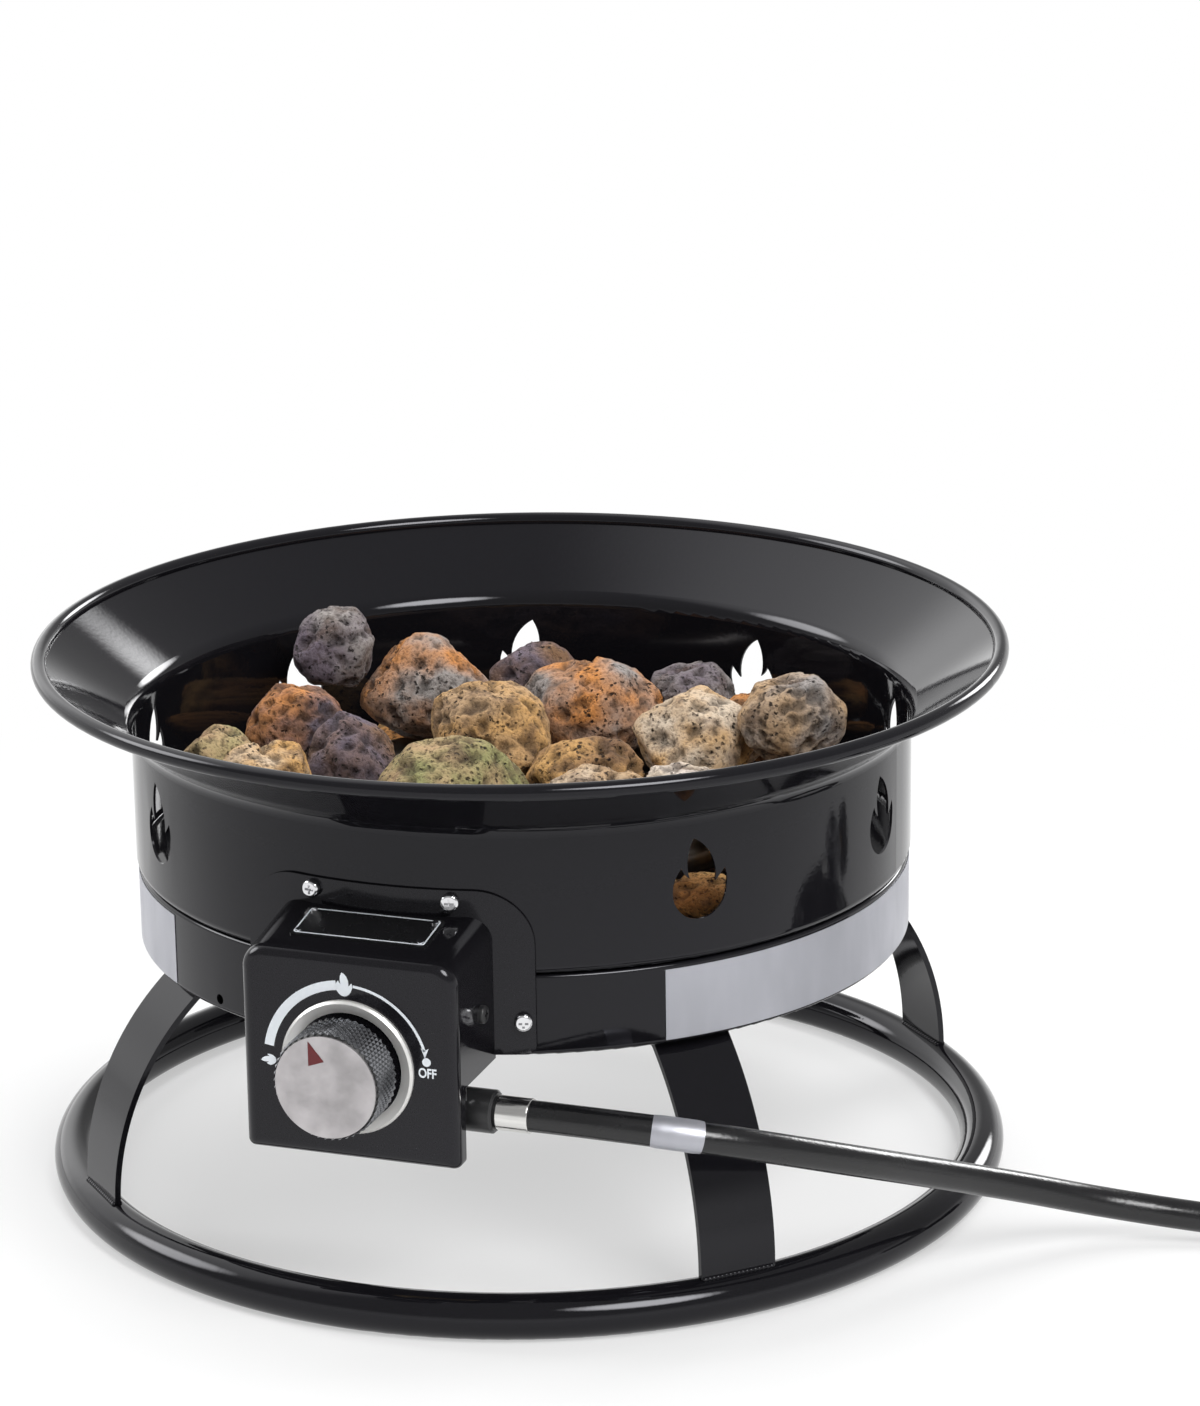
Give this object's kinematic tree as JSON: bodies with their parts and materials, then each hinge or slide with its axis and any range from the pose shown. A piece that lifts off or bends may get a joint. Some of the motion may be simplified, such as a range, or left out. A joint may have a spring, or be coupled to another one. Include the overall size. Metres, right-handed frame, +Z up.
{
  "type": "propane fire pit",
  "caption": "Round flared steel bowl of lava rock over a gas burner, on strap legs and a ring base, with a push-and-turn valve knob and a gas hose with its regulator.",
  "frame": {"origin": "on the bowl's axis, on the surface that the base ring stands on", "axes": "+Z up along the bowl's axis, -Y towards the control box, +X to its right hand seen from the front"},
  "size_m": [0.8708, 0.5416, 0.273],
  "materials": {
    "black_enamel": "gloss black enamel",
    "plate_black": "satin black plate with a pale border line",
    "foil": "blank satin foil",
    "chrome": "bright chrome plate",
    "zinc_steel": "zinc-plated steel",
    "burner_steel": "heat-tinted stainless steel",
    "gasket": "graphite fibre sheet",
    "cast_aluminium": "die-cast",
    "brass": "turned brass",
    "black_fitting": "satin black fitting",
    "gas_pipe": "drawn tube",
    "ferrule": "crimped bright steel",
    "bezel": "spun satin",
    "knob_black": "gloss black with a knurled side",
    "pointer_red": "painted red",
    "hose_rubber": "smooth satin black",
    "tie_strap": "woven hook-and-loop strap",
    "vent_plastic": "moulded",
    "coupling_plastic": "moulded with grips",
    "lava_rock": "porous tan and grey pumice"
  },
  "bodies": {
    "root": {"fire_bowl": "black_enamel", "lower_pan": "black_enamel", "control_box": "black_enamel", "leg_front_right": "black_enamel", "leg_front_left": "black_enamel", "leg_rear_right": "black_enamel", "leg_rear_left": "black_enamel", "base_ring": "black_enamel", "name_plate": "plate_black", "foil_label_right": "foil", "foil_label_left": "foil", "flange_screws": "chrome", "flank_screws": "black_fitting", "pan_bolts": "zinc_steel", "pan_nuts": "zinc_steel", "leg_bolts": "zinc_steel", "leg_nuts": "zinc_steel", "valve_bracket": "zinc_steel", "burner_lock_nut": "zinc_steel", "regulator_screws": "zinc_steel", "plate_rivets": "zinc_steel", "valve_spring": "zinc_steel", "burner_ring": "burner_steel", "burner_gasket": "gasket", "air_mixer": "cast_aluminium", "regulator_body": "cast_aluminium", "regulator_cover": "cast_aluminium", "gas_jet": "brass", "pipe_nuts": "brass", "valve_body": "brass", "tank_nipple": "brass", "hose_nut": "black_fitting", "gas_pipe": "gas_pipe", "hose_ferrule": "ferrule", "regulator_ferrule": "ferrule", "dial_bezel": "bezel", "hose_run": "hose_rubber", "hose_coil": "hose_rubber", "coil_tie": "tie_strap", "regulator_vent": "vent_plastic", "lava_bed": "lava_rock", "lava_heap": "lava_rock"},
    "push": {"push_collar": "zinc_steel"},
    "knob": {"valve_stem": "zinc_steel", "knob": "knob_black", "knob_cap": "chrome", "knob_pointer": "pointer_red"},
    "coupling": {"coupling_nut": "coupling_plastic"}
  },
  "joints": [
    {"name": "knob_push", "type": "slide", "parent": "root", "child": "push", "axis": [0, 1, 0], "range_m": [0, 0.003], "stiffness_N_per_m": 400, "springref_m": -0.01, "deforming": ["valve_spring"]},
    {"name": "knob_turn", "type": "hinge", "parent": "push", "child": "knob", "pos_m": [0, -0.238, 0.134], "axis": [0, -1, 0], "range_deg": [-100, 70]},
    {"name": "coupling_turn", "type": "hinge", "parent": "root", "child": "coupling", "pos_m": [0.59847, 0.26, 0.0251], "axis": [0, 1, 0], "continuous": true}
  ]
}
